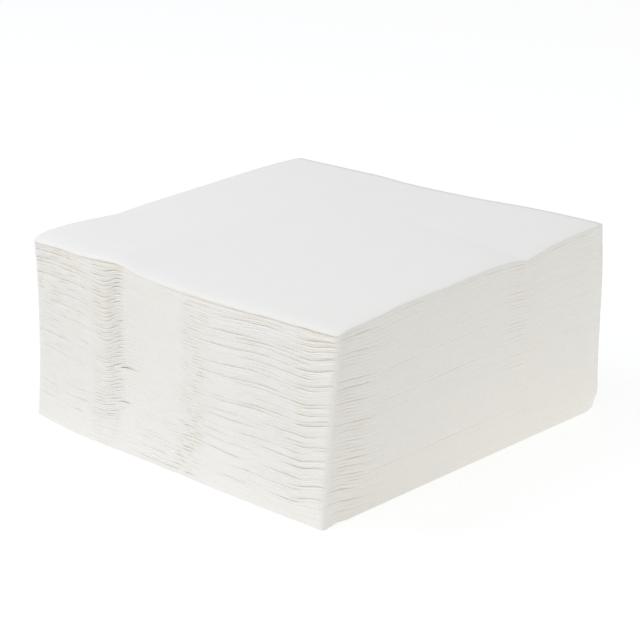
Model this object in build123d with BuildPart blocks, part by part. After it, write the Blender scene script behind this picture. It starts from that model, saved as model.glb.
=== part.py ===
from build123d import *
import os
import random
from math import cos, pi, radians, sin

# A stack of paper napkins, in millimetres, with its origin in the middle of its foot and +Z up.
# Each napkin is one square sheet folded in half twice. Its first fold faces -Y and its second
# fold +X, so the middle of the sheet is the closed corner at +X and -Y, and the sheet's four
# corners lie together at -X and +Y.

# Driving sizes
napkin_count = 50
folded_side = 165.0
sheet_thickness = 0.30
sheet_gap = 0.06
napkin_gap = 0.026
overrun = 5.0

# The wave that runs through the pile along X, at its knots from the open edges to the second fold.
# It is level at the foot, at its highest halfway up, and has settled in the top napkins.
wave_height = 3.3
wave_place_shares = (-0.5, -0.265, -0.165, 0.06)
wave_rise_shares = (0.0, -0.9, 0.5, -1.0, 0.1)
top_wave_share = 0.4

# An embossed band presses the sheets together between the second knot and the third
pinch_shares = (1.0, 0.87, 0.9, 1.0, 1.0)

# How the napkins were piled: the foot is turned against the top, in degrees, and each lies a little off
foot_turn = -2.8
loose_turn = 0.10
loose_shift = 0.20
loose_seed = 11

# The flats that a fold goes round in, outside and at the slit inside it, and the first fold's rounding
fold_flats = 3
slit_flats = 1
nose_chamfer_share = 0.3

# One napkin is four sheets thick, and each of its first folds is two
sheet_count = 4
half_thickness = (sheet_count * sheet_thickness + (sheet_count - 1) * sheet_gap) / 2
nose_chamfer = nose_chamfer_share * (half_thickness - sheet_gap / 2)
fold_place = folded_side / 2 - half_thickness * cos(pi / (2 * fold_flats))
knot_places = [share * folded_side for share in wave_place_shares] + [fold_place]

# The wave grows fastest at the foot, and the napkins lie far enough apart for it to leave their gap
levels = max(napkin_count - 1, 1)
fastest_growth = ((1 - top_wave_share) * pi + top_wave_share) / levels
wave_squeeze = -min(wave_rise_shares) * wave_height * fastest_growth
pitch = 2 * half_thickness + napkin_gap + wave_squeeze


def level_share(number):
    """How high up the pile a napkin lies, from 0 at the foot to 1 at the top."""
    return (number - 1) / levels


def wave_share(number):
    """The share of the wave's height that reaches a napkin."""
    level = level_share(number)
    return (1 - top_wave_share) * sin(pi * level) + top_wave_share * level


def middle_line(number):
    """The place, the height and the pinch of a napkin's middle at each knot."""
    middle = (number - 1) * pitch + half_thickness
    rises = [share * wave_height * wave_share(number) for share in wave_rise_shares]
    return [(x, middle + rise, pinch) for x, rise, pinch in zip(knot_places, rises, pinch_shares)]


def rail(line, reach, flats):
    """The outline at one distance from a napkin's middle: below, round the second fold and back above."""
    below = [(x, z - reach * pinch) for x, z, pinch in line]
    above = [(x, z + reach * pinch) for x, z, pinch in reversed(line)]
    x, z, pinch = line[-1]
    angles = [pi * step / flats for step in range(1, flats)]
    round_fold = [(x + reach * sin(angle), z - reach * pinch * cos(angle)) for angle in angles]
    return below + round_fold + above


def wrap(line, outside, inside, inner_flats):
    """The closed outline of what lies between two distances from a napkin's middle."""
    return rail(line, outside, fold_flats) + rail(line, inside, inner_flats)[::-1]


def far_plane(number):
    """The upright plane of a napkin's far edge, which looks towards its first fold."""
    loose = random.Random(loose_seed + number)
    turn = radians(foot_turn * (1 - level_share(number)) + loose.uniform(-loose_turn, loose_turn))
    shift = Vector(loose.uniform(-loose_shift, loose_shift), loose.uniform(-loose_shift, loose_shift), 0)
    to_fold = Vector(sin(turn), -cos(turn), 0)
    return Plane(origin=shift - to_fold * (folded_side / 2), x_dir=(cos(turn), sin(turn), 0), z_dir=to_fold)


def make_napkin(number):
    """One napkin: a double sheet wrapped round the second fold and slit open up to the first fold."""
    line = middle_line(number)
    far = far_plane(number)
    slit_face = half_thickness - sheet_thickness
    with BuildPart() as napkin:
        with BuildSketch(far):
            with BuildLine():
                Polyline(*wrap(line, half_thickness, sheet_gap / 2, slit_flats), close=True)
            make_face()
        extrude(amount=folded_side)
        # The slit leaves one sheet's thickness for the first fold's nose
        with BuildSketch(far.offset(-overrun)):
            with BuildLine():
                Polyline(*wrap(line, slit_face, slit_face - sheet_gap, fold_flats), close=True)
            make_face()
        extrude(amount=folded_side + overrun - sheet_thickness, mode=Mode.SUBTRACT)
        nose = napkin.faces().sort_by(Axis(far.origin, far.z_dir))[-1]
        cut_ends = nose.edges().sort_by(Axis(far.origin, far.x_dir))[: sheet_count // 2]
        chamfer([edge for edge in nose.edges() if edge not in cut_ends], length=nose_chamfer)
    napkin.part.label = f"napkin_{number:02d}"
    return napkin.part


os.makedirs("parts", exist_ok=True)
for number in range(1, napkin_count + 1):
    napkin = make_napkin(number)
    export_step(napkin, f"parts/{napkin.label}.step")
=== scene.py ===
"""A pile of white paper napkins, each folded in half twice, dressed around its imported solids.

The pile is worked out as a family of lines, one between each napkin and the next, from the level foot
to the soft top. A napkin is one closed sheet, drawn on a grid that runs along the sheet's cut section
in one direction and round its second fold in the other, and it fills the space between two
neighbouring lines, less the gap that the folds leave there. So the napkins never cross.
The napkins' lengths are in millimetres, and become metres as their meshes are made. The studio's
lengths are in metres.
"""

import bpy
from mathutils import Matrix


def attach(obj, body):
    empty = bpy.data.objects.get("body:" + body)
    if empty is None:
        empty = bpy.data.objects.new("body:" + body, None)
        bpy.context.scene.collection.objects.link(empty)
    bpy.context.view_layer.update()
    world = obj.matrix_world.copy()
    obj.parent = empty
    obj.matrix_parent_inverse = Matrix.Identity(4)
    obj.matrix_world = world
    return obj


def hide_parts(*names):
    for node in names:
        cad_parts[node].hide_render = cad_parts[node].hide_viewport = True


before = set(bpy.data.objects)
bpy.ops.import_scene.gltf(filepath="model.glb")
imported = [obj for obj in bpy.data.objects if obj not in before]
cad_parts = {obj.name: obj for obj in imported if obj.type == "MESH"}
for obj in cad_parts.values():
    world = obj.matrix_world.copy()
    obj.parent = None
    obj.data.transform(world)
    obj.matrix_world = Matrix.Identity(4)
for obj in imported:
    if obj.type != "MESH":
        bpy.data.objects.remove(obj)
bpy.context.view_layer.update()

import logging
from dataclasses import dataclass
from enum import Enum
from functools import cached_property
from math import pi

import bpy
import numpy as np
from mathutils import Matrix

# The point attribute with each sheet's share of painted warm shade in its gaps and folds.
PAINTED_SHADE_ATTRIBUTE = "painted_shade_share"
SHEETS = 4
MM = 0.001
LOG = logging.getLogger("napkin_pile")

Array = np.ndarray
Socket = bpy.types.NodeSocket
Tree = bpy.types.NodeTree
Colour = tuple[float, float, float]
Given = float | tuple[float, ...] | Socket


def smooth_step(share: Array) -> Array:
    """The cubic 3s^2 - 2s^3 of a share held between 0 and 1, level at both ends."""
    held = np.clip(share, 0.0, 1.0)
    return held * held * (3.0 - 2.0 * held)


def between(along: Array, span: tuple[float, float], fade: float) -> Array:
    """A top hat over a span, from 0 to 1, with eased ends that lie inside it."""
    start, end = span
    return smooth_step((along - start) / fade) * smooth_step((end - along) / fade)


def near_edge(distance: Array, reach: float) -> Array:
    """The exponential that is 1 at an edge and has fallen to about a third at its reach."""
    return np.exp(-np.maximum(distance, 0.0) / reach)


def eased(knots: tuple[float, ...], values: tuple | Array, at: float | Array) -> Array:
    """A smooth curve through given values: cubic pieces whose slopes at the knots are the values' own.

    Args:
        knots: Rising places.
        values: The value at each knot, or a row of values.
        at: Where the curve is read; beyond the ends it keeps the end's value.

    Returns:
        The curve's values, or one row of them.
    """
    places, heights = np.array(knots, float), np.array(values, float)
    slopes = np.gradient(heights, places, axis=0)
    held = np.clip(at, places[0], places[-1])
    step = np.clip(np.searchsorted(places, held, side="right") - 1, 0, len(places) - 2)
    width = places[step + 1] - places[step]
    share = (held - places[step]) / width
    rest = 1.0 - share
    return (
        (1.0 + 2.0 * share) * rest * rest * heights[step]
        + (1.0 + 2.0 * rest) * share * share * heights[step + 1]
        + share * rest * width * (rest * slopes[step] - share * slopes[step + 1])
    )


class Side(Enum):
    """The four sides of a napkin, by what shows there."""

    FIRST_FOLD = 1
    SECOND_FOLD = 2
    OPEN_LEFT = 3
    OPEN_BACK = 4


Sides = dict[Side, tuple[Array, Array]]


@dataclass(frozen=True)
class Ripple:
    """Smooth noise along an edge: a few sine waves of unlike lengths with seeded phases."""

    seed: int
    lengths: tuple[float, ...]

    def at(self, line: int, along: Array) -> Array:
        """The sum of the sines, scaled by their number and held at -1 to 1.

        Args:
            line: Which of the pile's lines it is; each has its own phases.
            along: Places along the edge.

        Returns:
            The noise at each place.
        """
        phases = np.random.default_rng([self.seed, line]).uniform(0.0, 2.0 * pi, len(self.lengths))
        waves = [np.sin(2.0 * pi * along / length + phase) for length, phase in zip(self.lengths, phases)]
        return np.clip(sum(waves) * (2.0 / len(self.lengths)) ** 0.5, -1.0, 1.0)


@dataclass(frozen=True)
class Zone:
    """A stretch of a side where the napkins bulge and stand apart, and where painted warm shade is laid, such
    as where a band is pressed in.

    Attributes:
        span: Where it starts and ends along the side.
        fade: The length over which it eases in and out.
        ripple: The noise along it.
        patchy: How much of its strength follows the noise, from 0 for none.
        opening: How far the napkins stand apart there.
        reach: How far inwards the gap dies away.
        rounding: How round the folds' noses are, from 0 for boxy to 1.
        retreat: How far the noses stand back.
        shares: Its share at the foot and at the top.
        lines: The only lines that it touches, counted from the foot, or none for all.
        painted_shade: How much painted warm shade the paper takes there, counted as a gap.
    """

    span: tuple[float, float]
    fade: float
    ripple: Ripple
    patchy: float
    opening: float = 0.0
    reach: float = 1.0
    rounding: float = 0.0
    retreat: float = 0.0
    shares: tuple[float, float] = (1.0, 1.0)
    lines: tuple[int, ...] = ()
    # How much painted warm shade the zone lays on, counted as a gap.
    painted_shade: float = 0.0

    def strength(self, line: int, level: float, along: Array) -> Array:
        """A top hat with eased ends, times a mix of a constant and the positive part of the noise.

        It changes evenly from its share at the foot to its share at the top, and is nothing where that
        falls below nothing. A zone with lines of its own is nothing at the others.

        Args:
            line: The line between two napkins, counted from the foot.
            level: How high it lies, from 0 to 1.
            along: Places along the side.

        Returns:
            The zone's strength at each place, mostly from 0 to 1.
        """
        if self.lines and line not in self.lines:
            return np.zeros_like(along)
        foot, top = self.shares
        share = max(foot + (top - foot) * level, 0.0)
        patches = np.clip(1.0 - self.patchy + self.patchy * self.ripple.at(line, along), 0.0, None)
        return share * between(along, self.span, self.fade) * patches

    def gap(self, line: int, level: float, distance: Array, along: Array) -> Array:
        """How far apart the napkins at a line stand there, dying away inwards."""
        return self.opening * self.strength(line, level, along) * near_edge(distance, self.reach)


@dataclass(frozen=True)
class Pocket:
    """A place where the fold of one napkin is pushed open and its neighbours make way.

    Attributes:
        side: The side that it is in.
        line: The line that it opens, counted from the foot.
        span: Where it starts and ends along the side.
        opening: How far it stands open.
        depth: How far inwards it dies away.
        fade: The length over which it eases in and out.
        spread: How many napkins away its shift has fallen to about a third.
        below: The share of its opening that goes downwards.
    """

    side: Side
    line: int
    span: tuple[float, float]
    opening: float
    depth: float
    fade: float = 2.2
    spread: float = 5.0
    below: float = 0.5

    def open(self, sides: Sides) -> Array:
        """How far it stands open: a top hat along the side, dying away inwards."""
        distance, along = sides[self.side]
        return self.opening * between(along, self.span, self.fade) * near_edge(distance, self.depth)

    def shift(self, line: int, sides: Sides) -> tuple[Array, Array]:
        """How far the faces that meet at a line move: apart at the pocket, and less and less beyond it.

        Args:
            line: The line, counted from the foot.
            sides: The distance from each side and the place along it.

        Returns:
            The rise of the face below the line and of the face above it.
        """
        opening = self.open(sides)
        if line == self.line:
            return -self.below * opening, (1.0 - self.below) * opening
        far = np.exp(-abs(line - self.line) / self.spread)
        if line > self.line:
            rise = (1.0 - self.below) * opening * far
        else:
            rise = -self.below * opening * far * line / self.line
        return rise, rise


@dataclass(frozen=True)
class Swell:
    """A soft hump or hollow in the top of the pile, which the napkins below share by their level.

    Attributes:
        place: Its middle, across and along the napkin.
        reach: How far from the middle it has fallen to about a third, across and along.
        rise: Its height, below nothing for a hollow.
    """

    place: tuple[float, float]
    reach: tuple[float, float]
    rise: float

    def at(self, x: Array, y: Array) -> Array:
        """A bell of its own reach along x and along y.

        Args:
            x: Places across the napkin.
            y: Places along the napkin.

        Returns:
            The rise at each place.
        """
        across = (x - self.place[0]) / self.reach[0]
        along = (y - self.place[1]) / self.reach[1]
        return self.rise * np.exp(-across * across - along * along)


@dataclass(frozen=True)
class Relief:
    """The wave that runs through the pile, given along the first fold at a few levels.

    Attributes:
        places: Where the wave is given, across the pile.
        levels: The levels at which it is given, from the foot to the top.
        rises: Its rise at each place, a row for each level.
        back_share: The share of it that is left far behind the first fold.
        front_reach: How far from the first fold it dies down to that.
    """

    places: tuple[float, ...] = (
        -82.5, -76, -70, -64, -57, -50, -45, -41, -38, -35, -31, -27,
        -22, -14, -5, 4, 11, 20, 29, 38, 47, 57, 66, 82.5,
    )
    levels: tuple[float, ...] = (0.0, 0.08, 0.25, 0.5, 0.75, 0.92, 1.0)
    rises: tuple[tuple[float, ...], ...] = (
        (0.0,) * 24,
        (
            0, .1, .1, -.1, -.2, 0, .2, .5, .8, 1.1, 1.5, 1.8,
            1.9, 1.7, 1.4, 1.1, .9, .6, .5, .4, .5, .5, .5, .4,
        ),
        (
            0, -.5, -1.8, -2.9, -3.3, -3.4, -3.2, -3.1, -2.4, -1.3, -.2, .4,
            .7, .5, .2, .1, .3, 0, -.7, -.5, -.1, -.1, -.1, -.2,
        ),
        (
            0, 0, -.2, -.7, -1.4, -2.3, -2.9, -3.2, -2.2, -.6, 1, 1.6,
            1.8, 1, -.8, -2.4, -3.2, -3.4, -2.9, -2.2, -1.8, -2, -2, -2,
        ),
        (
            .5, .6, .6, .5, .3, -.7, -1.4, -1.6, -.8, .9, 2.4, 2.7,
            2.5, 1.4, -1.6, -3.6, -3.9, -3.8, -3.5, -2.6, -2.2, -2.8, -3.3, -3.4,
        ),
        (
            .7, 1, 1.2, 1, .8, .3, 0, 0, .9, 2.3, 2.7, 2.2,
            1.3, .3, -1.3, -3.1, -3.6, -3.7, -3.2, -2.6, -2, -2.4, -2.7, -2.7,
        ),
        (
            1.5, 1.6, 1.7, 1.8, 1.8, 2.1, 2.6, 3, 3.2, 3.1, 2.7, 2,
            1.2, .5, .1, -.1, -.3, -.4, -.3, -.1, .1, .3, .4, .5,
        ),
    )
    back_share: float = 0.25
    front_reach: float = 25.0

    def at(self, level: float, across: Array, from_front: Array) -> Array:
        """The wave's rise: eased across the levels, then across the places, and less towards the back.

        Args:
            level: How high the line lies, from 0 to 1.
            across: Places across the napkin.
            from_front: Distances from the first fold.

        Returns:
            The rise at each place.
        """
        row = eased(self.levels, self.rises, level)
        share = self.back_share + (1.0 - self.back_share) * near_edge(from_front, self.front_reach)
        return eased(self.places, row, across) * share


@dataclass(frozen=True)
class CornerPuff:
    """How the folds of the folds, which are thicker, hold the closed corner up."""

    levels: tuple[float, ...] = (0.0, 0.04, 0.08, 0.25, 0.5, 0.75, 0.92, 1.0)
    rises: tuple[float, ...] = (0.0, 1.4, 2.6, 3.4, 4.0, 3.9, 3.2, 0.6)
    from_second: float = 17.0
    from_first: float = 24.0

    def at(self, level: float, sides: Sides) -> Array:
        """The level's rise, easing out over its own distance from each of the two folds.

        Args:
            level: How high the line lies, from 0 to 1.
            sides: The distance from each side and the place along it.

        Returns:
            The rise at each place.
        """
        second = smooth_step(1.0 - sides[Side.SECOND_FOLD][0] / self.from_second)
        first = smooth_step(1.0 - sides[Side.FIRST_FOLD][0] / self.from_first)
        return eased(self.levels, self.rises, level) * second * first


@dataclass(frozen=True)
class Crease:
    """The pressed line across the top sheet."""

    start: tuple[float, float] = (4.5, 40.0)
    end: tuple[float, float] = (79.0, 32.5)
    depth: float = 0.65
    width: float = 2.8
    ease_share: float = 0.25

    def at(self, x: Array, y: Array) -> Array:
        """A bell across the line, easing in from its start.

        Args:
            x: Places across the napkin.
            y: Places along the napkin.

        Returns:
            The depth at each place.
        """
        run = (x - self.start[0]) / (self.end[0] - self.start[0])
        off = (y - self.start[1] - (self.end[1] - self.start[1]) * run) / self.width
        return self.depth * smooth_step(run / self.ease_share) * np.exp(-off * off)


@dataclass(frozen=True)
class Lie:
    """How one napkin lies in the pile: its turn about Z and its shift."""

    turn: float
    shift: tuple[float, float]

    def to_pile(self, x: Array, y: Array, twist: Array) -> tuple[Array, Array]:
        """Turns and shifts the napkin's own places into those of the pile, with its twist there."""
        cos, sin = np.cos(self.turn + twist), np.sin(self.turn + twist)
        return x * cos - y * sin + self.shift[0], x * sin + y * cos + self.shift[1]


def corner_of(points: Array, right: int, back: int) -> Array:
    """The point of a plan furthest to the right (1) or left (-1) and to the back (1) or front (-1)."""
    return points[np.argmax(points @ np.array([right, back], float))]


def measure_lie(node: str) -> tuple[Lie, float]:
    """Reads a packed napkin's lie and side from the four corners of its plan.

    Args:
        node: The napkin's node.

    Returns:
        Its lie, and the length of its side, in millimetres.
    """
    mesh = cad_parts[node].data
    flat = np.empty(len(mesh.vertices) * 3, np.float32)
    mesh.vertices.foreach_get("co", flat)
    plan = flat.reshape(-1, 3)[:, :2].astype(float) / MM
    front_left, front_right = corner_of(plan, -1, -1), corner_of(plan, 1, -1)
    back_left, back_right = corner_of(plan, -1, 1), corner_of(plan, 1, 1)
    across = (front_right - front_left + back_right - back_left) / 2.0
    middle = (front_left + front_right + back_left + back_right) / 4.0
    turn = float(np.arctan2(across[1], across[0]))
    return Lie(turn, (float(middle[0]), float(middle[1]))), float(np.hypot(*across))


@dataclass
class Pile:
    """The lines between the napkins, and the gaps that the folds leave there.

    Attributes:
        side: The folded napkin's side.
        count: How many napkins there are.
        foot_turn: The turn of the foot against the top.
        height: The pile's height before its swells, as it lies loose.
        relief: The wave that runs through it.
        puff: How its closed corner is held up.
        crease: The pressed line across its top.
        swells: The humps and hollows of its top.
        pockets: The places where a fold is pushed open.
        uneven: How far each line strays near the sides, with a ripple of its own.
        uneven_seed: The seed of those ripples.
        uneven_reach: How far inwards they die away.
        uneven_lengths: Their lengths along the first folds and the back.
        uneven_long_lengths: Their lengths along the second folds and the left.
        uneven_top: How many lines it takes for them to settle towards the top.
        closed_gap: The gap where nothing holds the napkins apart.
        droops: How far the top line droops at each side, in the order of Side.
        droop_reach: How far inwards that dies away.
        droop_shares: The share of the droops that the top line and those below it have.
    """

    side: float
    count: int
    foot_turn: float

    height: float = 77.8
    relief: Relief = Relief()
    puff: CornerPuff = CornerPuff()
    crease: Crease = Crease()
    swells: tuple[Swell, ...] = (
        Swell((-82.0, -66.0), (25.0, 20.0), 1.6),
        Swell((-82.0, -33.0), (25.0, 8.0), -0.6),
        Swell((-35.0, 82.0), (40.0, 25.0), -0.9),
        Swell((56.0, 82.0), (34.0, 25.0), 1.7),
        Swell((82.0, -40.0), (25.0, 24.0), 1.4),
        Swell((82.0, 4.0), (25.0, 22.0), 1.4),
        Swell((82.0, 35.0), (20.0, 10.0), -1.35),
        Swell((82.0, 58.0), (14.0, 22.0), 0.65),
        Swell((82.0, -82.0), (12.0, 20.0), -0.7),
        Swell((-80.0, 82.0), (20.0, 12.0), -0.8),
    )
    pockets: tuple[Pocket, ...] = (
        Pocket(Side.FIRST_FOLD, line=22, span=(-33.0, -21.5), opening=1.0, depth=0.6, fade=5.0),
        Pocket(Side.FIRST_FOLD, line=23, span=(-36.0, -31.0), opening=0.4, depth=0.6),
        Pocket(Side.FIRST_FOLD, line=13, span=(-33.0, -24.0), opening=0.65, depth=0.6, fade=4.0),
        Pocket(Side.SECOND_FOLD, line=0, span=(-80.0, -71.0), opening=0.8, depth=2.5, below=0.0),
    )
    uneven: float = 0.16
    uneven_seed: int = 3
    uneven_reach: float = 14.0
    uneven_lengths: tuple[float, ...] = (61.0, 37.0, 23.0, 13.0)
    uneven_long_lengths: tuple[float, ...] = (61.0, 37.0)
    uneven_top: float = 4.0
    closed_gap: float = 0.01
    droops: tuple[float, ...] = (2.1, 0.5, 0.2, 0.2)
    droop_reach: float = 2.0
    droop_shares: tuple[float, ...] = (1.0, 0.62, 0.30)

    @cached_property
    def zones(self) -> dict[Side, tuple[Zone, ...]]:
        """The stretches where the napkins bulge and stand apart.

        Returns:
            The zones of each side.
        """
        edges = Zone((-82.5, 82.5), fade=5.0, ripple=Ripple(19, (43.0, 23.0, 11.0)), patchy=0.8, opening=0.16)
        return {
            Side.FIRST_FOLD: self.first_fold_zones(),
            Side.SECOND_FOLD: self.second_fold_zones(),
            Side.OPEN_LEFT: (edges,),
            Side.OPEN_BACK: (edges,),
        }

    @staticmethod
    def first_fold_zones() -> tuple[Zone, ...]:
        """Lists the first folds' zones, from the open left edges to the closed corner.

        Returns:
            The zones.
        """
        calm = (190.0, 37.0)
        left_end = (7, 11, 14, 21, 25, 27, 31, 34, 37, 41, 44, 45, 47, 48)
        ridges = (4, 7, 10, 13, 15, 17, 20, 22, 25, 26, 31, 32, 35, 38, 40, 42, 43, 44, 47, 48, 49)
        near_corner = (5, 8, 10, 13, 15, 18, 19, 22, 25, 26, 28, 30, 31, 35, 36, 40, 43, 45, 46, 47, 49)
        return (
            # The loose left end: short patches, and some lines that run through
            Zone(
                (-84.0, -49.0), fade=5.0, ripple=Ripple(11, (17.0, 9.0, 6.3)), patchy=0.95,
                opening=0.20, reach=0.8, rounding=0.70, retreat=0.14, shares=(0.3, 1.3),
            ),
            Zone(
                (-83.0, -49.0), fade=4.0, ripple=Ripple(21, calm), patchy=0.40,
                opening=0.17, reach=0.8, rounding=0.6, retreat=0.26, shares=(0.4, 1.15), lines=left_end,
            ),
            # Painted warm shade only, over the left half
            Zone(
                (-84.0, 0.0), fade=14.0, ripple=Ripple(25, (53.0, 29.0)), patchy=0.60,
                shares=(0.0, 1.0), painted_shade=0.7,
            ),
            # The embossed column, with a little painted warm shade
            Zone(
                (-49.0, -28.0), fade=3.0, ripple=Ripple(12, (31.0, 11.0)), patchy=0.35,
                opening=0.33, reach=0.8, rounding=1.0, retreat=0.20, shares=(0.25, 1.15), painted_shade=0.15,
            ),
            # The pressed stretch, which opens only low down
            Zone(
                (-22.0, 10.0), fade=9.0, ripple=Ripple(28, (41.0, 17.0)), patchy=0.60,
                opening=0.16, reach=0.7, rounding=1.0, retreat=0.16, shares=(1.0, -1.5),
            ),
            # The second embossed column, with a little painted warm shade
            Zone(
                (3.0, 19.0), fade=3.0, ripple=Ripple(13, (13.0, 7.0)), patchy=0.45,
                opening=0.22, reach=0.7, rounding=1.0, retreat=0.22, painted_shade=0.2,
            ),
            # The ridges towards the near corner, and finer lines between them
            Zone(
                (15.0, 72.0), fade=6.0, ripple=Ripple(14, (71.0, 43.0, 29.0)), patchy=0.45,
                opening=0.19, reach=0.8, rounding=0.9, retreat=0.38, shares=(0.65, 1.05), lines=ridges,
            ),
            Zone(
                (30.0, 80.0), fade=16.0, ripple=Ripple(22, (43.0, 23.0, 11.0)), patchy=0.50,
                opening=0.10, reach=0.7, rounding=0.85, retreat=0.16, shares=(0.4, 1.1),
            ),
            # The line under the top napkin
            Zone(
                (-84.0, 82.0), fade=4.0, ripple=Ripple(24, calm), patchy=0.20,
                opening=0.07, reach=0.7, rounding=0.9, retreat=0.40, lines=(49,),
            ),
            # The deep lines of the near corner
            Zone(
                (62.0, 83.5), fade=4.0, ripple=Ripple(15, calm), patchy=0.35,
                opening=0.22, reach=0.8, rounding=1.0, retreat=0.60, shares=(0.35, 1.35), lines=near_corner,
            ),
            # Painted warm shade only, at the near corner
            Zone(
                (62.0, 86.0), fade=6.0, ripple=Ripple(26, calm), patchy=0.40,
                shares=(0.6, 1.0), painted_shade=0.55,
            ),
        )

    @staticmethod
    def second_fold_zones() -> tuple[Zone, ...]:
        """Lists the second folds' zones, from the closed corner to the open back edges.

        Returns:
            The zones.
        """
        calm, gentle = (190.0, 37.0), (37.0, 17.0)
        near_corner = (4, 7, 11, 13, 15, 20, 25, 31, 35, 37, 44, 48)
        return (
            # The lines of the near corner
            Zone(
                (-84.0, -61.0), fade=7.0, ripple=Ripple(16, calm), patchy=0.30,
                opening=0.045, reach=0.7, rounding=0.9, retreat=0.13, shares=(0.35, 1.25), lines=near_corner,
            ),
            # Faint lines, and painted warm shade by the near corner
            Zone(
                (-84.0, -58.0), fade=8.0, ripple=Ripple(23, gentle), patchy=0.60,
                opening=0.015, reach=0.6, rounding=0.4, retreat=0.01, painted_shade=0.75,
            ),
            # The few faint lines that run on
            Zone(
                (-62.0, 8.0), fade=12.0, ripple=Ripple(17, (41.0, 23.0)), patchy=0.60,
                opening=0.02, reach=0.7, rounding=0.3, retreat=0.02, lines=(10, 28, 36, 47),
            ),
            # The pressed column by the crease
            Zone(
                (24.0, 33.0), fade=2.5, ripple=Ripple(18, (13.0, 7.0)), patchy=0.80,
                opening=0.04, reach=0.7, rounding=0.4, retreat=0.02, shares=(0.1, 1.2),
            ),
            # Painted warm shade only, by the crease
            Zone(
                (22.0, 42.0), fade=5.0, ripple=Ripple(27, gentle), patchy=0.50,
                shares=(0.2, 1.0), painted_shade=0.65,
            ),
        )

    def level(self, line: float | Array) -> float | Array:
        """How high a line lies, from 0 at the foot to 1 at the top."""
        return line / self.count

    def turn(self, line: float | Array) -> float | Array:
        """The pile's twist, which eases out evenly from the foot to the top."""
        return self.foot_turn * (1.0 - self.level(line))

    def to_napkin(self, line: int, x: Array, y: Array) -> tuple[Array, Array]:
        """Turns the pile's places into those of the napkins beside a line.

        Args:
            line: The line, counted from the foot.
            x: Places across the pile.
            y: Places along the pile.

        Returns:
            The places across and along the napkins.
        """
        turn = self.turn(line)
        cos, sin = np.cos(turn), np.sin(turn)
        return x * cos + y * sin, y * cos - x * sin

    def sides(self, across: Array, along: Array) -> Sides:
        """The distance from each side, and the place along it.

        Args:
            across: Places across the napkin.
            along: Places along the napkin.

        Returns:
            For each side, the distances from it and the places along it.
        """
        half = self.side / 2.0
        return {
            Side.FIRST_FOLD: (along + half, across),
            Side.SECOND_FOLD: (half - across, along),
            Side.OPEN_LEFT: (across + half, along),
            Side.OPEN_BACK: (half - along, across),
        }

    def line_height(self, line: int, across: Array, along: Array, sides: Sides) -> Array:
        """The height of the line between two napkins.

        It is the line's share of the top's height with its swells, plus the wave, the corner's puff,
        and each line's own unevenness near the sides. The top lines droop at the sides, and the
        uppermost has the crease.

        Args:
            line: The line, counted from the foot: 0 is the foot and count is the top.
            across: Places across the napkin.
            along: Places along the napkin.
            sides: The distance from each side and the place along it.

        Returns:
            The height at each place.
        """
        if line == 0:
            return np.zeros_like(across)
        level = self.level(line)
        height = level * (self.height + sum(swell.at(across, along) for swell in self.swells))
        height = height + self.relief.at(level, across, sides[Side.FIRST_FOLD][0])
        height = height + self.puff.at(level, sides)
        from_top = self.count - line
        uneven = self.uneven * min(1.0, from_top / self.uneven_top)
        for side, (distance, place) in sides.items():
            crosswise = side in (Side.SECOND_FOLD, Side.OPEN_LEFT)
            lengths = self.uneven_long_lengths if crosswise else self.uneven_lengths
            wave = Ripple(self.uneven_seed, lengths).at(line * len(Side) + side.value, place)
            height = height + uneven * wave * near_edge(distance, self.uneven_reach)
        if from_top < len(self.droop_shares):
            for droop, (distance, _) in zip(self.droops, sides.values()):
                height = height - droop * self.droop_shares[from_top] * near_edge(distance, self.droop_reach)
        if line == self.count:
            height = height - self.crease.at(across, along)
        return height

    def gap(self, line: int, sides: Sides) -> Array:
        """How far apart the napkins at a line stand: each side's zones, dying away inwards.

        Args:
            line: The line, counted from the foot.
            sides: The distance from each side and the place along it.

        Returns:
            The gap at each place, which is nothing at the foot and at the top.
        """
        gap = np.full_like(sides[Side.FIRST_FOLD][0], self.closed_gap)
        if line in (0, self.count):
            return gap * 0.0
        for side, (distance, place) in sides.items():
            gap = gap + sum(zone.gap(line, self.level(line), distance, place) for zone in self.zones[side])
        return gap

    def faces_at(self, line: int, x: Array, y: Array) -> tuple[Array, Array]:
        """The two faces that meet at a line: half a gap below it and above it, moved by the pockets.

        Args:
            line: The line, counted from the foot.
            x: Places across the pile.
            y: Places along the pile.

        Returns:
            The heights of the upper face of the napkin below, and of the lower face of the one above.
        """
        across, along = self.to_napkin(line, x, y)
        sides = self.sides(across, along)
        middle = self.line_height(line, across, along, sides)
        half = self.gap(line, sides) / 2.0
        below, above = middle - half, middle + half
        for pocket in self.pockets:
            fall, rise = pocket.shift(line, sides)
            below, above = below + fall, above + rise
        return below, above


@dataclass(frozen=True)
class Weave:
    """How finely a napkin's grid is drawn."""

    columns: int
    rows: int
    nose_steps: int = 7


@dataclass(frozen=True)
class Profile:
    """A fold's nose as depths and heights, once round and once as a box with rounded corners.

    Attributes:
        depth: How far out each step of the round nose lies.
        height: Its heights.
        box_depth: How far out each step of the boxy nose lies.
        box_height: Its heights.
        give: How far each step follows the fold's roundness, from 0 to 1.
    """

    depth: Array
    height: Array
    box_depth: Array
    box_height: Array
    give: Array


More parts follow.
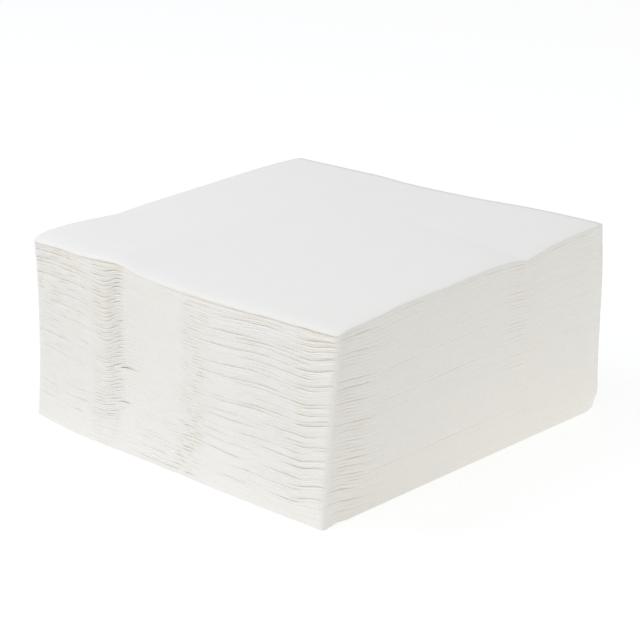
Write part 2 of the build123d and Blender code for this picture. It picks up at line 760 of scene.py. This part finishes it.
@dataclass
class Napkin:
    """One napkin: a square sheet folded in half twice, as one closed surface.

    Attributes:
        number: Which napkin it is, counted from the foot.
        pile: The pile whose lines it lies between.
        lie: How it lies, beyond the pile's twist.
        weave: How finely its grid is drawn.
        sheet: The thickness of one sheet.
        slit: The gap between two sheets of the same napkin.
        fold_depth: How far the second fold's nose stands out from where it begins to turn.
        nose_depth: How far the first fold's noses do.
        nose_middle: Where a nose is furthest out, as a share of its leaf's thickness from the slit.
        slit_give: How far a nose follows its roundness on the side of the slit.
        box_turns: The turns, from the furthest point to the end, at which a pressed nose is given.
        box_heights: Its heights there, as shares of the half nose.
        box_depths: Its depths there, as shares of the nose's depth.
        fold_wander: How far a free fold wanders in and out.
        wander_reach: How far inwards that dies away.
        pressed_share: The share of the wander that a pressed fold has.
        retreat_reach: How far inwards the noses' retreat dies away.
        painted_shade_share: The gap at which the painted warm shade is full.
        wander_ripple: The ripple of the wander.
        closed_corner: The closed corner's radius at the foot, and above it.
        open_corner: The radius of both left corners, likewise.
        right_back_corner: The radius of the corner at the right and the back, likewise.
        corner_levels: The height, as a level, over which the radii change.
        edge_uneven: How unevenly the four sheets' cut edges end.
        edge_seed: The seed of those ends.
        lean_levels: The levels at which the leans are given.
        lean_reach: How far inwards the leans die away.
        start_reach: How far along a side its lean at the start gives way to its own.
        bulge_places: Where the foot's bulge is given, along the first folds.
        bulges: How far the foot stands out there.
        bulge_level: The level at which the bulge has gone.
        column_crowds: Where the columns of the grid crowd: a place, a width and a strength each.
        row_crowds: Where its rows crowd, likewise.
        edge_crowd: The strength with which both crowd at the sides.
        edge_crowd_width: The width over which they do.
        crowd_samples: How finely the crowding is summed.
    """

    number: int
    pile: Pile
    lie: Lie
    weave: Weave

    sheet: float = 0.30
    slit: float = 0.06
    fold_depth: float = 0.62
    nose_depth: float = 0.50
    nose_middle: float = 0.28
    slit_give: float = 0.35
    box_turns: tuple[float, ...] = (0.0, 0.25, 0.5, 0.75, 1.0)
    box_heights: tuple[float, ...] = (0.0, 0.88, 0.975, 1.0, 1.0)
    box_depths: tuple[float, ...] = (1.0, 1.0, 1.0, 0.97, 0.0)
    fold_wander: float = 0.10
    wander_reach: float = 8.0
    pressed_share: float = 0.04
    retreat_reach: float = 3.0
    painted_shade_share: float = 1.0
    wander_ripple: Ripple = Ripple(31, (67.0, 41.0, 19.0))
    closed_corner: tuple[float, float] = (1.2, 3.0)
    open_corner: tuple[float, float] = (1.5, 1.5)
    right_back_corner: tuple[float, float] = (6.0, 1.5)
    corner_levels: float = 0.09
    edge_uneven: float = 0.22
    edge_seed: int = 32
    lean_levels: tuple[float, ...] = (0.0, 0.08, 0.25, 0.5, 0.75, 1.0)
    lean_reach: float = 70.0
    start_reach: float = 22.0
    bulge_places: tuple[float, ...] = (-82.5, -70.0, -57.0, -42.0, -25.0, 0.0, 30.0, 60.0, 82.5)
    bulges: tuple[float, ...] = (0.0, 1.7, 2.9, 3.2, 2.7, 2.5, 2.3, 1.7, 1.0)
    bulge_level: float = 0.35
    column_crowds: tuple[tuple[float, float, float], ...] = (
        (-66.0, 16.0, 1.2), (-36.0, 9.0, 3.0), (9.0, 7.0, 1.0), (73.0, 8.0, 1.6),
    )
    row_crowds: tuple[tuple[float, float, float], ...] = (
        (-82.0, 1.2, 10.0), (-70.0, 10.0, 1.6), (34.0, 9.0, 2.6),
    )
    edge_crowd: float = 2.5
    edge_crowd_width: float = 4.0
    crowd_samples: int = 2000

    @property
    def name(self) -> str:
        """The napkin's node name."""
        return f"napkin_{self.number:02d}"

    @property
    def level(self) -> float:
        """How high the napkin lies, from 0 at the foot to 1 at the top."""
        return self.pile.level(self.number - 0.5)

    @property
    def leans(self) -> dict[Side, tuple[tuple[float, ...], tuple[float, ...]]]:
        """How far the sides stand out from the square.

        Returns:
            For each side, how far out it is at the lean levels: near its start, and beyond that.
        """
        return {
            Side.FIRST_FOLD: ((1.2, 0.8, 0.2, 0.0, 0.0, 0.0), (1.2, 0.8, 0.2, 0.0, 0.0, 0.0)),
            Side.SECOND_FOLD: ((1.0, 0.6, 0.2, 0.0, 0.0, 0.0), (0.4, 0.2, 0.0, 0.0, 0.0, 0.0)),
            Side.OPEN_LEFT: ((1.2, 0.7, -0.1, -1.0, -1.4, -0.6), (0.6, 0.4, 0.2, 0.2, 0.3, 0.4)),
            Side.OPEN_BACK: ((2.0, 2.1, 2.3, 3.0, 3.8, 3.0), (0.6, 0.5, 0.4, 0.3, -0.2, -0.8)),
        }

    def crowded(self, count: int, low: float, high: float, crowds: tuple[tuple[float, ...], ...]) -> Array:
        """Places between two ends that crowd round given ones: the inverse of a summed density.

        Args:
            count: How many places.
            low: The first place.
            high: The last place.
            crowds: Where they crowd: a place, a width and a strength each.

        Returns:
            The places, rising.
        """
        fine = np.linspace(low, high, self.crowd_samples)
        density = np.ones_like(fine)
        for place, width, strength in crowds:
            density += strength * np.exp(-(((fine - place) / width) ** 2))
        density += self.edge_crowd * near_edge(fine - low, self.edge_crowd_width)
        density += self.edge_crowd * near_edge(high - fine, self.edge_crowd_width)
        total = np.concatenate([[0.0], np.cumsum((density[1:] + density[:-1]) / 2.0)])
        return np.interp(np.linspace(0.0, total[-1], count), total, fine)

    def nose(self, steps: int, start: float, end: float, middle: float, end_give: float) -> Profile:
        """The inner steps of a half turn, in two quarters that meet at the nose's furthest point.

        Each quarter is an ellipse, or in the boxy nose a flat whose end has a small bevel.

        Args:
            steps: How many inner steps.
            start: The first height of the nose.
            end: The last height of the nose.
            middle: The height of its furthest point.
            end_give: How far the last quarter follows the fold's roundness, from 0 to 1.

        Returns:
            The nose, with depths from 0 to 1.
        """
        angles = np.linspace(pi / 2.0, -pi / 2.0, steps + 2)[1:-1]
        cos, sin = np.cos(angles), np.sin(angles)
        reach = np.where(sin > 0.0, start - middle, middle - end)
        turned = np.abs(angles) / (pi / 2.0)
        box_rise = np.sign(sin) * np.interp(turned, self.box_turns, self.box_heights)
        return Profile(
            depth=cos,
            height=middle + reach * sin,
            box_depth=np.interp(turned, self.box_turns, self.box_depths),
            box_height=middle + reach * box_rise,
            give=np.where(sin < 0.0, end_give, 1.0),
        )

    def section(self) -> tuple[Array, Array, Array, Array, Array]:
        """The double sheet's cut section at the first fold: a closed ring round the hairpin.

        It runs along the outer face to the nose, round it, back along the face at the slit, and
        returns inside the hairpin. Heights are shares of half the napkin's thickness.

        Returns:
            Places and heights of the ring with a round nose, then with a boxy one, and how far each
            point follows the fold's roundness.
        """
        half = self.pile.side / 2.0
        rows = self.crowded(self.weave.rows, -half + self.nose_depth, half, self.row_crowds)[::-1]
        thick = SHEETS * self.sheet + (SHEETS - 1) * self.slit
        slit, sheet = self.slit / thick, 2.0 * self.sheet / thick
        flat = np.ones_like(rows)
        steps = self.weave.nose_steps
        outer = self.nose(steps, 1.0, slit, slit + (1.0 - slit) * self.nose_middle, self.slit_give)
        inner = self.nose(steps, slit + sheet, 1.0 - sheet, (slit + 1.0) / 2.0, 1.0)
        tip, depth, thin = rows[-1], self.nose_depth, self.slit / 2.0
        back = rows[::-1]
        round_y = [rows, tip - depth * outer.depth, back, rows, tip - thin * inner.depth, back]
        box_y = [rows, tip - depth * outer.box_depth, back, rows, tip - thin * inner.box_depth, back]
        starts, ends = (flat, flat * slit), (flat * (slit + sheet), flat * (1.0 - sheet))
        round_z = [starts[0], outer.height, starts[1], ends[0], inner.height, ends[1]]
        box_z = [starts[0], outer.box_height, starts[1], ends[0], inner.box_height, ends[1]]
        give = [flat, outer.give, flat, flat, inner.give, flat]
        return tuple(np.concatenate(parts) for parts in (round_y, round_z, box_y, box_z, give))

    def path(self) -> tuple[Array, Array, Array, Array, Array]:
        """The way from the lower leaf's open edge round the second fold to the upper leaf's.

        Returns:
            The place across at each step, then the reach and the height of a point one unit out,
            round and boxy: a height of -1 is the lower leaf and of 1 the upper.
        """
        half = self.pile.side / 2.0
        columns = self.crowded(self.weave.columns, -half, half - self.fold_depth, self.column_crowds)
        nose = self.nose(self.weave.nose_steps, -1.0, 1.0, 0.0, 1.0)
        ends = np.zeros(self.weave.columns)
        lower, upper = ends - 1.0, ends + 1.0
        return (
            np.concatenate([columns, np.full(self.weave.nose_steps, columns[-1]), columns[::-1]]),
            np.concatenate([ends, nose.depth, ends]),
            np.concatenate([lower, nose.height, upper]),
            np.concatenate([ends, nose.box_depth, ends]),
            np.concatenate([lower, nose.box_height, upper]),
        )

    def looseness(self, side: Side, along: Array, upper: Array) -> tuple[Array, Array, Array]:
        """What the zones do to a fold's nose, each line to the half of the nose beside it.

        The top sheet's upper half is free, and so fully round.

        Args:
            side: The folded side.
            along: Places along it.
            upper: Shares of the napkin's thickness, 0 at its lower face and 1 at its upper.

        Returns:
            How round the nose is, from 0 for boxy to 1, how far it stands back, and the painted warm shade
            beside it, from how far the napkins stand apart and from the zones' own painted shade.
        """
        roundness, retreat, apart = (np.zeros(np.broadcast(along, upper).shape) for _ in range(3))
        for line, share in ((self.number - 1, 1.0 - upper), (self.number, upper)):
            if line == self.pile.count:
                roundness = roundness + share
                continue
            for zone in self.pile.zones[side]:
                strength = share * zone.strength(line, self.level, along)
                roundness = roundness + zone.rounding * strength
                retreat = retreat + zone.retreat * share * strength
                # Openings and the zones' painted shade both add to the painted warm shade.
                apart = apart + (zone.opening + zone.painted_shade) * share * strength
        return np.clip(roundness, 0.0, 1.0), retreat, apart

    def soften_corner(self, x: Array, y: Array, right: int, back: int, radius: Array) -> tuple[Array, Array]:
        """Rounds one corner of the plan by the mapping of a square onto a disc within the corner's square.

        Args:
            x: Places across the napkin.
            y: Places along the napkin.
            right: 1 for a corner on the right, -1 for one on the left.
            back: 1 for a corner at the back, -1 for one in front.
            radius: The corner's radius at each place.

        Returns:
            The moved places.
        """
        inner = self.pile.side / 2.0 - radius
        across = np.clip((right * x - inner) / radius, 0.0, 1.0)
        along = np.clip((back * y - inner) / radius, 0.0, 1.0)
        pull_x = across * (1.0 - np.sqrt(1.0 - along * along / 2.0)) * radius
        pull_y = along * (1.0 - np.sqrt(1.0 - across * across / 2.0)) * radius
        return x - right * pull_x, y - back * pull_y

    def plan(self, x: Array, y: Array, height: Array) -> tuple[Array, Array]:
        """Moves the folded square's plan as the real sheets lie.

        The corners are rounded, the folds wander by a ripple, the four sheets' cut edges end at
        different places, and each side leans out by its level.

        Args:
            x: Places across the napkin.
            y: Places along the napkin.
            height: Shares of half the thickness, which tell the four sheets apart.

        Returns:
            The moved places.
        """
        upper = (height + 1.0) / 2.0
        level = self.pile.level(self.number - 1.0 + upper)
        for right, back, radii in (
            (1, -1, self.closed_corner),
            (1, 1, self.right_back_corner),
            (-1, 1, self.open_corner),
            (-1, -1, self.open_corner),
        ):
            radius = radii[0] + (radii[1] - radii[0]) * smooth_step(level / self.corner_levels)
            x, y = self.soften_corner(x, y, right, back, radius)
        sides = self.pile.sides(x, y)
        outward = {side: np.zeros_like(x) for side in Side}
        starts = {
            Side.FIRST_FOLD: Side.OPEN_LEFT,
            Side.SECOND_FOLD: Side.FIRST_FOLD,
            Side.OPEN_LEFT: Side.FIRST_FOLD,
            Side.OPEN_BACK: Side.SECOND_FOLD,
        }
        for side, start in starts.items():
            near, far = (eased(self.lean_levels, lean, level) for lean in self.leans[side])
            lean = far + (near - far) * near_edge(sides[start][0], self.start_reach)
            outward[side] = lean * smooth_step(1.0 - sides[side][0] / self.lean_reach)
        low_share = np.maximum(1.0 - level / self.bulge_level, 0.0) ** 2
        bulge = eased(self.bulge_places, self.bulges, x) * low_share
        bulge = bulge * smooth_step(1.0 - sides[Side.FIRST_FOLD][0] / self.lean_reach)
        outward[Side.FIRST_FOLD] = outward[Side.FIRST_FOLD] + bulge
        for side in (Side.FIRST_FOLD, Side.SECOND_FOLD):
            distance, place = sides[side]
            wander = 1.0 + self.wander_ripple.at(len(Side) * self.number + side.value, place)
            roundness, retreat, _ = self.looseness(side, place, upper)
            free = self.pressed_share + (1.0 - self.pressed_share) * roundness
            back = self.fold_wander * free * wander * near_edge(distance, self.wander_reach)
            outward[side] = outward[side] - back - retreat * near_edge(distance, self.retreat_reach)
        sheets = np.clip(np.round(upper * (SHEETS - 1)), 0, SHEETS - 1).astype(int)
        edges = np.random.default_rng([self.edge_seed, self.number])
        uneven = edges.uniform(0.0, self.edge_uneven, (2, SHEETS))
        for row, side in enumerate((Side.OPEN_LEFT, Side.OPEN_BACK)):
            inwards = smooth_step(1.0 - sides[side][0] / self.lean_reach)
            outward[side] = outward[side] - uneven[row][sheets] * inwards
        x = x + outward[Side.SECOND_FOLD] - outward[Side.OPEN_LEFT]
        y = y + outward[Side.OPEN_BACK] - outward[Side.FIRST_FOLD]
        return x, y

    def points(self) -> tuple[Array, Array]:
        """The sheet's grid: the section's ring carried along the path, between the pile's two lines.

        Returns:
            An array of steps along the path, by steps round the section, by x, y and z; and how far
            the napkins stand apart beside each of its points.
        """
        round_y, round_z, box_y, box_z, give = self.section()
        place, reach, turn, box_reach, box_turn = (values[:, None] for values in self.path())
        upper = (1.0 + turn * round_z) / 2.0
        first, _, apart = self.looseness(Side.FIRST_FOLD, place, upper)
        ring_y = box_y + first * give * (round_y - box_y)
        ring_z = box_z + first * give * (round_z - box_z)
        second, _, painted_shade_second = self.looseness(Side.SECOND_FOLD, ring_y, upper)
        across = box_reach + second * (reach - box_reach)
        height = (box_turn + second * (turn - box_turn)) * ring_z
        x, y = self.plan(place + self.fold_depth * across * ring_z, ring_y, height)
        upper = (height + 1.0) / 2.0
        x, y = self.lie.to_pile(x, y, self.pile.turn(self.number - 1.0 + upper))
        under, low = self.pile.faces_at(self.number - 1, x, y)
        high, over = self.pile.faces_at(self.number, x, y)
        gaps = (low - under) * (1.0 - upper) ** 2 + (over - high) * upper ** 2
        # The painted warm shade follows the zones, and is at least as much as the gaps.
        apart = np.maximum(apart + painted_shade_second, gaps)
        return np.stack([x, y, low + (high - low) * upper], axis=-1), apart

    def faces(self, steps: int, ring: int) -> Array:
        """The quads between neighbouring rings, and those that close the sheet's two cut ends.

        Args:
            steps: How many rings.
            ring: How many points in a ring.

        Returns:
            Rows of four point numbers.
        """
        number = np.arange(steps * ring).reshape(steps, ring)
        beside = np.roll(number, -1, axis=1)
        skin = np.stack([number[:-1], beside[:-1], beside[1:], number[1:]], axis=-1).reshape(-1, 4)
        outer = np.arange(ring // 2)
        inner = ring - 1 - outer
        first, last = number[0], number[-1]
        start = np.stack([first[outer[:-1]], first[inner[:-1]], first[inner[1:]], first[outer[1:]]], axis=-1)
        end = np.stack([last[outer[:-1]], last[outer[1:]], last[inner[1:]], last[inner[:-1]]], axis=-1)
        return np.concatenate([skin, start, end])

    def build(self, material: bpy.types.Material) -> bpy.types.Object:
        """Makes the napkin's mesh, facing outwards, and its object.

        Args:
            material: The sheet's material.

        Returns:
            The object, linked to the scene.
        """
        grid, apart = self.points()
        quads = self.faces(*grid.shape[:2])
        points = grid.reshape(-1, 3) * MM
        if enclosed_volume(points, quads) < 0.0:
            quads = quads[:, ::-1]
        made = mesh_object(self.name + "_sheet", points, quads, material)
        # Stores the painted warm shade's share at each point.
        shares = np.clip(apart / self.painted_shade_share, 0.0, 1.0).astype(np.float32)
        made.data.attributes.new(PAINTED_SHADE_ATTRIBUTE, "FLOAT", "POINT").data.foreach_set("value", shares.ravel())
        return made


def enclosed_volume(points: Array, quads: Array) -> float:
    """A sixth of the sum of the triangles' triple products, negative if the faces point inwards."""
    a, b, c, d = (points[quads[:, corner]] for corner in range(4))
    return float((np.cross(b, c) * a).sum() + (np.cross(c, d) * a).sum()) / 6.0


def mesh_object(name: str, points: Array, quads: Array, material: bpy.types.Material) -> bpy.types.Object:
    """Puts points and quads into a new smooth-shaded mesh.

    Args:
        name: The object's name.
        points: Rows of x, y and z, in metres.
        quads: Rows of four point numbers.
        material: The only material.

    Returns:
        The object, linked to the scene.
    """
    mesh = bpy.data.meshes.new(name)
    mesh.vertices.add(len(points))
    mesh.vertices.foreach_set("co", points.astype(np.float32).ravel())
    mesh.loops.add(quads.size)
    mesh.loops.foreach_set("vertex_index", quads.astype(np.int32).ravel())
    mesh.polygons.add(len(quads))
    mesh.polygons.foreach_set("loop_start", np.arange(0, quads.size, 4, dtype=np.int32))
    mesh.polygons.foreach_set("use_smooth", np.ones(len(quads), bool))
    mesh.update(calc_edges=True)
    mesh.validate()
    mesh.materials.append(material)
    made = bpy.data.objects.new(name, mesh)
    bpy.context.scene.collection.objects.link(made)
    return made


def fill(tree: Tree, node: bpy.types.Node, inputs: dict[str | int, Given]) -> None:
    """Fills a node's inputs, each with a value or with a link from the socket that is given.

    Args:
        tree: The nodes.
        node: The node whose inputs are filled.
        inputs: What goes into each input, by the input's name or number.
    """
    for name, given in inputs.items():
        if isinstance(given, Socket):
            tree.links.new(given, node.inputs[name])
        else:
            node.inputs[name].default_value = given


def add_node(tree: Tree, kind: str, inputs: dict[str | int, Given], **settings: str) -> bpy.types.Node:
    """Adds a node, makes its settings and fills its inputs.

    Args:
        tree: The nodes that it joins.
        kind: What follows ShaderNode in its type.
        inputs: What goes into each input, by the input's name or number.
        settings: The node's own choices, such as its operation.

    Returns:
        The node.
    """
    node = tree.nodes.new("ShaderNode" + kind)
    for name, choice in settings.items():
        setattr(node, name, choice)
    fill(tree, node, inputs)
    return node


def noise_of(tree: Tree, place: Socket, size: float, detail: float) -> Socket:
    """Adds noise from 0 to 1 whose blobs are about a size in metres, with octaves of detail."""
    return add_node(tree, "TexNoise", {"Scale": 1.0 / size, "Detail": detail, "Vector": place}).outputs["Fac"]


def calculated(tree: Tree, operation: str, first: Given, second: Given = 0.0) -> Socket:
    """Adds a Math node for two values, each a socket or a number, and gives its result."""
    return add_node(tree, "Math", {0: first, 1: second}, operation=operation).outputs["Value"]


def object_place(tree: Tree) -> Socket:
    """The coordinates that stay with the object."""
    return add_node(tree, "TexCoord", {}).outputs["Object"]


def mixed_colour(tree: Tree, share: Socket, first: Given, second: Given) -> Socket:
    """Mixes two colours, by the share of the second."""
    inputs = {"A": first, "B": second, "Factor": share}
    return add_node(tree, "Mix", inputs, data_type="RGBA").outputs["Result"]


def mixed_shader(tree: Tree, share: Given, first: Socket, second: Socket) -> Socket:
    """Mixes two shaders, by the share of the second."""
    return add_node(tree, "MixShader", {"Fac": share, 1: first, 2: second}).outputs["Shader"]


@dataclass(frozen=True)
class TissueFinish:
    """Soft white three-ply tissue: matt, faintly mottled and finely embossed, with painted warm shade in its
    gaps and folds.
    """

    colour: Colour = (0.905, 0.888, 0.845)
    mottle: Colour = (0.890, 0.871, 0.823)
    # The colour of the painted warm shade in the gaps and folds.
    inside: Colour = (0.885, 0.845, 0.745)
    mottle_size: float = 9.0 * MM
    mottle_detail: float = 3.0
    relief_detail: float = 2.0
    rough_low: float = 0.88
    rough_high: float = 0.98
    gloss: float = 0.2
    emboss_pitch: float = 1.3 * MM
    emboss_depth: float = 0.006 * MM
    fibre_size: float = 0.45 * MM
    fibre_depth: float = 0.015 * MM
    crinkle_size: float = 4.0 * MM
    crinkle_depth: float = 0.06 * MM

    def grain(self) -> Tree:
        """Builds the node group of the tissue's mottle and relief.

        The mottle is broad noise. The relief is the sum of a grid of soft dots (the sine across times
        the sine along), fine fibre noise and a slow crinkle, each times its depth.

        Returns:
            The group, with the place and the three depths as inputs.
        """
        group = bpy.data.node_groups.new("tissue_grain", "ShaderNodeTree")
        group.interface.new_socket("Place", in_out="INPUT", socket_type="NodeSocketVector")
        for name in ("Emboss Depth", "Fibre Depth", "Crinkle Depth"):
            group.interface.new_socket(name, in_out="INPUT", socket_type="NodeSocketFloat")
        for name in ("Mottle", "Height"):
            group.interface.new_socket(name, in_out="OUTPUT", socket_type="NodeSocketFloat")
        given = group.nodes.new("NodeGroupInput").outputs
        result = group.nodes.new("NodeGroupOutput").inputs
        place = given["Place"]
        parts = add_node(group, "SeparateXYZ", {"Vector": place}).outputs
        turns = 2.0 * pi / self.emboss_pitch
        across, along = (calculated(group, "MULTIPLY", parts[axis], turns) for axis in "XY")
        dots = calculated(group, "MULTIPLY", *(calculated(group, "SINE", wave) for wave in (across, along)))
        fibre = noise_of(group, place, self.fibre_size, self.relief_detail)
        crinkle = noise_of(group, place, self.crinkle_size, self.relief_detail)
        emboss = calculated(group, "MULTIPLY", dots, given["Emboss Depth"])
        fibre = calculated(group, "MULTIPLY", fibre, given["Fibre Depth"])
        crinkle = calculated(group, "MULTIPLY", crinkle, given["Crinkle Depth"])
        height = calculated(group, "ADD", calculated(group, "ADD", emboss, fibre), crinkle)
        group.links.new(noise_of(group, place, self.mottle_size, self.mottle_detail), result["Mottle"])
        group.links.new(height, result["Height"])
        return group

    def material(self) -> bpy.types.Material:
        """Builds the material: the grain group drives its colour, roughness and bump, and the sheets'
        attribute mixes in the painted warm shade.

        Returns:
            The material.
        """
        material = bpy.data.materials.new("tissue")
        material.use_nodes = True
        tree = material.node_tree
        grain = tree.nodes.new("ShaderNodeGroup")
        grain.node_tree = self.grain()
        fill(tree, grain, {
            "Place": object_place(tree),
            "Emboss Depth": self.emboss_depth,
            "Fibre Depth": self.fibre_depth,
            "Crinkle Depth": self.crinkle_depth,
        })
        mottle, height = grain.outputs["Mottle"], grain.outputs["Height"]
        colour = mixed_colour(tree, mottle, (*self.colour, 1.0), (*self.mottle, 1.0))
        # The share of painted warm shade at each point.
        opening = add_node(tree, "Attribute", {}, attribute_name=PAINTED_SHADE_ATTRIBUTE).outputs["Fac"]
        limits = {"To Min": self.rough_low, "To Max": self.rough_high}
        rough = add_node(tree, "MapRange", {"Value": mottle, **limits})
        bump = add_node(tree, "Bump", {"Distance": 1.0, "Height": height})
        fill(tree, tree.nodes["Principled BSDF"], {
            # The painted warm shade is mixed into the paper's colour here.
            "Base Color": mixed_colour(tree, opening, colour, (*self.inside, 1.0)),
            "Roughness": rough.outputs["Result"],
            "Specular IOR Level": self.gloss,
            "Normal": bump.outputs["Normal"],
        })
        return material


@dataclass(frozen=True)
class Lamp:
    """A broad soft disk of light that faces the middle of the pile's foot."""

    name: str
    place: tuple[float, float, float]
    size: float
    watts: float
    colour: Colour

    def build(self) -> None:
        """Places the lamp: its back points away from the pile, and its right side lies level."""
        data = bpy.data.lights.new(self.name, "AREA")
        data.shape = "DISK"
        data.size = self.size
        data.energy = self.watts
        data.color = self.colour
        lamp = bpy.data.objects.new(self.name, data)
        place = np.array(self.place)
        back = place / np.linalg.norm(place)
        right = np.cross([0.0, 0.0, 1.0], back)
        right = right / np.linalg.norm(right)
        lamp.matrix_world = stand(right, np.cross(back, right), back, place)
        bpy.context.scene.collection.objects.link(lamp)


def stand(right: Array, up: Array, back: Array, place: Array) -> Matrix:
    """The matrix of something that stands at a place with the given axes."""
    rows = [(*axes, where) for axes, where in zip(np.stack([right, up, back], 1), place)]
    return Matrix(rows + [(0.0, 0.0, 0.0, 1.0)])


@dataclass
class Studio:
    """A pale floor, soft light and the camera.

    Attributes:
        azimuth: How far round the pile the camera stands, from its front.
        elevation: How high it stands, as an angle.
        roll: Its tilt about its own axis.
        distance: Its distance from the middle of the foot, before it moves aside and up.
        aside: How far it moves to its right.
        above: How far it moves up.
        focal_pixels: Its focal length, in pixels of the picture.
        picture_pixels: The picture's width.
        sensor_mm: The width of its sensor.
        sky: The strength of the even light.
        glow: The strength of the light from the floor round the pile.
        glow_reach: How far from its middle that has fallen to about a third.
        glow_place: The middle of that light.
        white: How bright the floor shows to the camera.
        shadow_share: How much of the pile's shadow shows on it.
        lamps: The lamps.
    """

    azimuth: float = np.radians(41.16)
    elevation: float = np.radians(20.12)
    roll: float = np.radians(-0.16)
    distance: float = 977.0 * MM
    aside: float = 0.64 * MM
    above: float = 37.92 * MM
    focal_pixels: float = 2321.0
    picture_pixels: float = 640.0
    sensor_mm: float = 36.0
    sky: float = 0.635
    sky_colour: Colour = (0.987, 0.991, 1.0)
    floor_size: float = 8.0
    floor_colour: Colour = (0.90, 0.90, 0.90)
    glow: float = 0.42
    glow_colour: Colour = (1.0, 0.98, 0.86)
    glow_reach: float = 0.17
    glow_place: tuple[float, float, float] = (0.060, 0.055, 0.0)
    plain_white: tuple[float, ...] = (1.0, 1.0, 1.0, 1.0)
    white: float = 1.08
    shadow_share: float = 0.30
    lamps: tuple[Lamp, ...] = (
        Lamp("key", place=(0.0, -0.85, 0.70), size=0.5, watts=1.6, colour=(1.0, 0.97, 0.85)),
        Lamp("top", place=(-0.55, -0.35, 0.90), size=0.6, watts=3.8, colour=(0.68, 0.745, 0.955)),
        Lamp("fill", place=(0.45, 0.75, 0.25), size=0.3, watts=0.75, colour=(0.86, 0.92, 1.0)),
    )

    def camera(self) -> None:
        """Places the camera by its azimuth, elevation and roll, a little aside and up from the middle."""
        data = bpy.data.cameras.new("camera")
        data.sensor_width = self.sensor_mm
        data.lens = self.focal_pixels / self.picture_pixels * self.sensor_mm
        flat = np.cos(self.elevation)
        back = np.array([np.sin(self.azimuth) * flat, -np.cos(self.azimuth) * flat, np.sin(self.elevation)])
        level = np.array([np.cos(self.azimuth), np.sin(self.azimuth), 0.0])
        upright = np.cross(back, level)
        right = level * np.cos(self.roll) + upright * np.sin(self.roll)
        up = upright * np.cos(self.roll) - level * np.sin(self.roll)
        camera = bpy.data.objects.new("camera", data)
        place = back * self.distance + right * self.aside + up * self.above
        camera.matrix_world = stand(right, up, back, place)
        bpy.context.scene.collection.objects.link(camera)
        bpy.context.scene.camera = camera

    @staticmethod
    def seen(tree: Tree) -> Socket:
        """1 for rays from the camera, off gloss or through glass, and 0 for light on the object.

        Args:
            tree: The nodes of the floor or the world.

        Returns:
            The sum of the three, held at 1.
        """
        rays = add_node(tree, "LightPath", {}).outputs
        total = rays["Is Camera Ray"]
        for ray in ("Is Glossy Ray", "Is Transmission Ray"):
            total = calculated(tree, "ADD", total, rays[ray])
            total.node.use_clamp = True
        return total

    def world(self) -> None:
        """An even sky: plain light on the object, and white where the camera sees it."""
        world = bpy.data.worlds.new("studio")
        world.use_nodes = True
        tree = world.node_tree
        light = tree.nodes["Background"]
        fill(tree, light, {"Color": (*self.sky_colour, 1.0), "Strength": self.sky})
        white = add_node(tree, "Background", {"Color": self.plain_white})
        mix = mixed_shader(tree, self.seen(tree), light.outputs["Background"], white.outputs["Background"])
        fill(tree, tree.nodes["World Output"], {"Surface": mix})
        bpy.context.scene.world = world

    def fading(self, tree: Tree) -> Socket:
        """The floor's glow round the pile: its strength times a bell of the distance from its place.

        Args:
            tree: The floor's nodes.

        Returns:
            The glow's strength at each place.
        """
        away = add_node(tree, "VectorMath", {0: object_place(tree), 1: self.glow_place}, operation="SUBTRACT")
        offset = away.outputs["Vector"]
        square = add_node(tree, "VectorMath", {0: offset, 1: offset}, operation="DOT_PRODUCT")
        power = calculated(tree, "MULTIPLY", square.outputs["Value"], -1.0 / self.glow_reach ** 2)
        return calculated(tree, "MULTIPLY", calculated(tree, "EXPONENT", power), self.glow)

    def floor(self) -> None:
        """A level floor that lights the object as a pale one does and with a glow of its own round the pile,
        and shows white with the shadow on it.
        """
        material = bpy.data.materials.new("floor")
        material.use_nodes = True
        tree = material.node_tree
        plain = tree.nodes["Principled BSDF"]
        fill(tree, plain, {
            "Base Color": (*self.floor_colour, 1.0),
            "Roughness": 1.0,
            "Specular IOR Level": 0.0,
            "Emission Color": (*self.glow_colour, 1.0),
            "Emission Strength": self.fading(tree),
        })
        lit = add_node(tree, "BsdfDiffuse", {"Color": self.plain_white}).outputs["BSDF"]
        white = add_node(tree, "Emission", {"Strength": self.white}).outputs["Emission"]
        shown = mixed_shader(tree, self.shadow_share, white, lit)
        mix = mixed_shader(tree, self.seen(tree), plain.outputs["BSDF"], shown)
        fill(tree, tree.nodes["Material Output"], {"Surface": mix})
        half = self.floor_size / 2.0
        corners = np.array([(-half, -half, 0.0), (half, -half, 0.0), (half, half, 0.0), (-half, half, 0.0)])
        mesh_object("floor", corners, np.array([[0, 1, 2, 3]]), material)

    def build(self) -> None:
        """Builds the stage, and leaves colours as they are."""
        self.world()
        self.floor()
        for lamp in self.lamps:
            lamp.build()
        self.camera()
        bpy.context.scene.view_settings.view_transform = "Standard"


@dataclass
class Dressing:
    """Dresses every packed napkin with its sheet."""

    finish: TissueFinish
    weave: Weave = Weave(54, 17)
    top_weave: Weave = Weave(70, 34, 9)
    steadiness: float = 0.93

    def steady(self, lie: Lie, pile: Pile, number: int) -> Lie:
        """Takes the pile's even twist from a napkin's lie, and leaves a little of what is beyond it."""
        loose = 1.0 - self.steadiness
        return Lie(loose * (lie.turn - pile.turn(number - 0.5)), (loose * lie.shift[0], loose * lie.shift[1]))

    def build(self) -> None:
        """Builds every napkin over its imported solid, from the foot up."""
        nodes = sorted(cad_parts)
        measured = [measure_lie(node) for node in nodes]
        side = measured[0][1]
        pile = Pile(side=side, count=len(nodes), foot_turn=measured[0][0].turn)
        material = self.finish.material()
        for number, (node, (lie, _)) in enumerate(zip(nodes, measured), start=1):
            weave = self.top_weave if number == pile.count else self.weave
            piece = Napkin(number, pile, self.steady(lie, pile, number), weave).build(material)
            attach(piece, "root")
            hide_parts(node)
            LOG.info("%s: %d faces", node, len(piece.data.polygons))


def main() -> None:
    """Builds the stage and the pile."""
    logging.basicConfig(level=logging.INFO, format="%(name)s %(message)s")
    Studio().build()
    Dressing(TissueFinish()).build()


if __name__ == "__main__":
    main()
